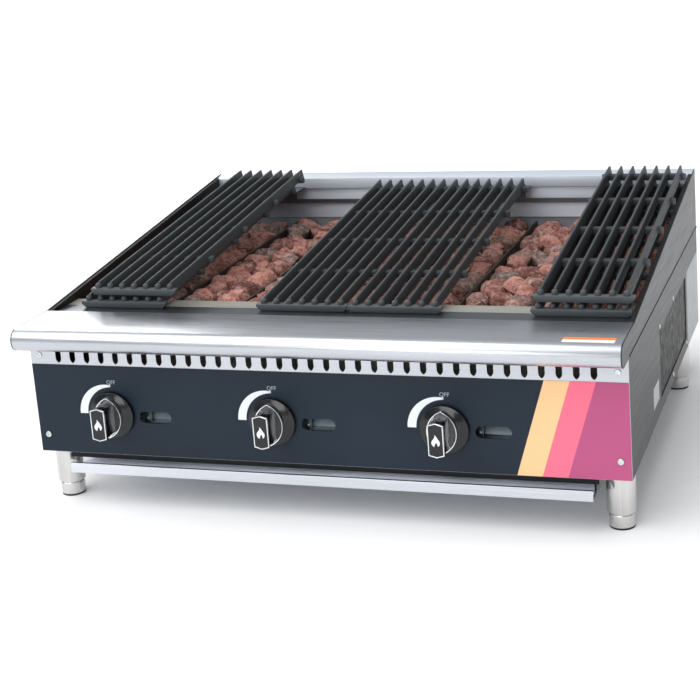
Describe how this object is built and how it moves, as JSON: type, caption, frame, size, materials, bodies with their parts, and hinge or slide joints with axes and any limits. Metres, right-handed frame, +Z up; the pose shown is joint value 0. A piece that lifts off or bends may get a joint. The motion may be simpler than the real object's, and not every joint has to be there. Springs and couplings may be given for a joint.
{
  "type": "countertop gas charbroiler",
  "caption": "Countertop gas charbroiler with a bullnose front ledge, control knobs, lava rock bed under lift-out cast-iron grates, drip tray and adjustable legs.",
  "frame": {"origin": "middle of the footprint, on the worktop under the feet", "axes": "+X to the right as seen from the front, +Y from the front ledge to the back panel, +Z up"},
  "size_m": [0.9172, 0.835, 0.3833],
  "materials": {
    "brushed_stainless": "brushed along the width",
    "satin_stainless": "satin",
    "black_overlay": "satin black overlay film",
    "galvanised_steel": "spangled zinc",
    "heat_blackened_steel": "matt black",
    "mill_steel": "dull mill finish",
    "black_steel": "semi-gloss black",
    "raw_cast_iron": "as cast",
    "grate_cast_iron": "seasoned satin black",
    "lava_rock": "rough porous rock",
    "plated_steel": "dull zinc plate",
    "brass": "machined",
    "zinc_screw": "bright zinc",
    "plain_label": "blank metal-look label",
    "orange_label": "blank two-colour label",
    "leg_stainless": "brushed round the tube",
    "knob_plastic": "glossy black with chrome trim",
    "tray_steel": "bright satin"
  },
  "bodies": {
    "cabinet": {"control_panel": "brushed_stainless", "panel_overlay": "black_overlay", "front_ledge": "brushed_stainless", "left_upper_side": "brushed_stainless", "right_upper_side": "brushed_stainless", "left_side_panel": "satin_stainless", "right_side_panel": "satin_stainless", "side_backings": "galvanised_steel", "left_liner": "heat_blackened_steel", "right_liner": "heat_blackened_steel", "front_liner": "mill_steel", "front_grate_rail": "mill_steel", "rear_splash": "brushed_stainless", "rear_grate_rail": "mill_steel", "back_panel": "mill_steel", "left_base_rail": "galvanised_steel", "right_base_rail": "galvanised_steel", "front_base_rail": "black_steel", "tray_runners": "galvanised_steel", "firebox_rails": "galvanised_steel", "rock_grates": "raw_cast_iron", "rock_dividers": "raw_cast_iron", "lava_rocks_left": "lava_rock", "lava_rocks_center": "lava_rock", "lava_rocks_right": "lava_rock", "burner_left": "raw_cast_iron", "burner_center": "raw_cast_iron", "burner_right": "raw_cast_iron", "air_shutters": "plated_steel", "gas_valves": "brass", "orifice_hoods": "brass", "manifold_pipe": "plated_steel", "gas_supply_pipe": "black_steel", "pilot_valves": "brass", "pilot_tubes": "plated_steel", "pilot_heads": "plated_steel", "panel_screws": "zinc_screw", "side_screws": "zinc_screw", "rating_plate": "plain_label", "ledge_label": "orange_label", "leg_tubes": "leg_stainless"},
    "left_knob": {"knob_left": "knob_plastic", "valve_stem_left": "zinc_screw"},
    "center_knob": {"knob_center": "knob_plastic", "valve_stem_center": "zinc_screw"},
    "right_knob": {"knob_right": "knob_plastic", "valve_stem_right": "zinc_screw"},
    "tray": {"drip_tray": "tray_steel", "tray_front": "tray_steel"},
    "left_lower_grate": {"grate_left_lower": "grate_cast_iron"},
    "left_upper_grate": {"grate_left_upper": "grate_cast_iron"},
    "center_left_grate": {"grate_center_left": "grate_cast_iron"},
    "center_right_grate": {"grate_center_right": "grate_cast_iron"},
    "right_lower_grate": {"grate_right_lower": "grate_cast_iron"},
    "right_upper_grate": {"grate_right_upper": "grate_cast_iron"},
    "front_left_foot": {"foot_front_left": "leg_stainless"},
    "front_right_foot": {"foot_front_right": "leg_stainless"},
    "rear_left_foot": {"foot_rear_left": "leg_stainless"},
    "rear_right_foot": {"foot_rear_right": "leg_stainless"}
  },
  "joints": [
    {"name": "left_knob_turn", "type": "hinge", "parent": "cabinet", "child": "left_knob", "pos_m": [-0.327, -0.3765, 0.148], "axis": [0, -1, 0], "range_deg": [0, 90]},
    {"name": "center_knob_turn", "type": "hinge", "parent": "cabinet", "child": "center_knob", "pos_m": [-0.066, -0.3765, 0.148], "axis": [0, -1, 0], "range_deg": [0, 90]},
    {"name": "right_knob_turn", "type": "hinge", "parent": "cabinet", "child": "right_knob", "pos_m": [0.195, -0.3765, 0.148], "axis": [0, -1, 0], "range_deg": [0, 90]},
    {"name": "drip_tray_slide", "type": "slide", "parent": "cabinet", "child": "tray", "axis": [0, -1, 0], "range_m": [0, 0.45]},
    {"name": "left_lower_grate_lift", "type": "slide", "parent": "cabinet", "child": "left_lower_grate", "axis": [0, 0, 1], "range_m": [0, 0.12]},
    {"name": "left_upper_grate_lift", "type": "slide", "parent": "left_lower_grate", "child": "left_upper_grate", "axis": [0, 0, 1], "range_m": [0, 0.12]},
    {"name": "center_left_grate_lift", "type": "slide", "parent": "cabinet", "child": "center_left_grate", "axis": [0, 0, 1], "range_m": [0, 0.12]},
    {"name": "center_right_grate_lift", "type": "slide", "parent": "cabinet", "child": "center_right_grate", "axis": [0, 0, 1], "range_m": [0, 0.12]},
    {"name": "right_lower_grate_lift", "type": "slide", "parent": "cabinet", "child": "right_lower_grate", "axis": [0, 0, 1], "range_m": [0, 0.12]},
    {"name": "right_upper_grate_lift", "type": "slide", "parent": "right_lower_grate", "child": "right_upper_grate", "axis": [0, 0, 1], "range_m": [0, 0.12]},
    {"name": "front_left_foot_screw", "type": "slide", "parent": "cabinet", "child": "front_left_foot", "axis": [0, 0, -1], "range_m": [0, 0.02]},
    {"name": "front_right_foot_screw", "type": "slide", "parent": "cabinet", "child": "front_right_foot", "axis": [0, 0, -1], "range_m": [0, 0.02]},
    {"name": "rear_left_foot_screw", "type": "slide", "parent": "cabinet", "child": "rear_left_foot", "axis": [0, 0, -1], "range_m": [0, 0.02]},
    {"name": "rear_right_foot_screw", "type": "slide", "parent": "cabinet", "child": "rear_right_foot", "axis": [0, 0, -1], "range_m": [0, 0.02]}
  ]
}
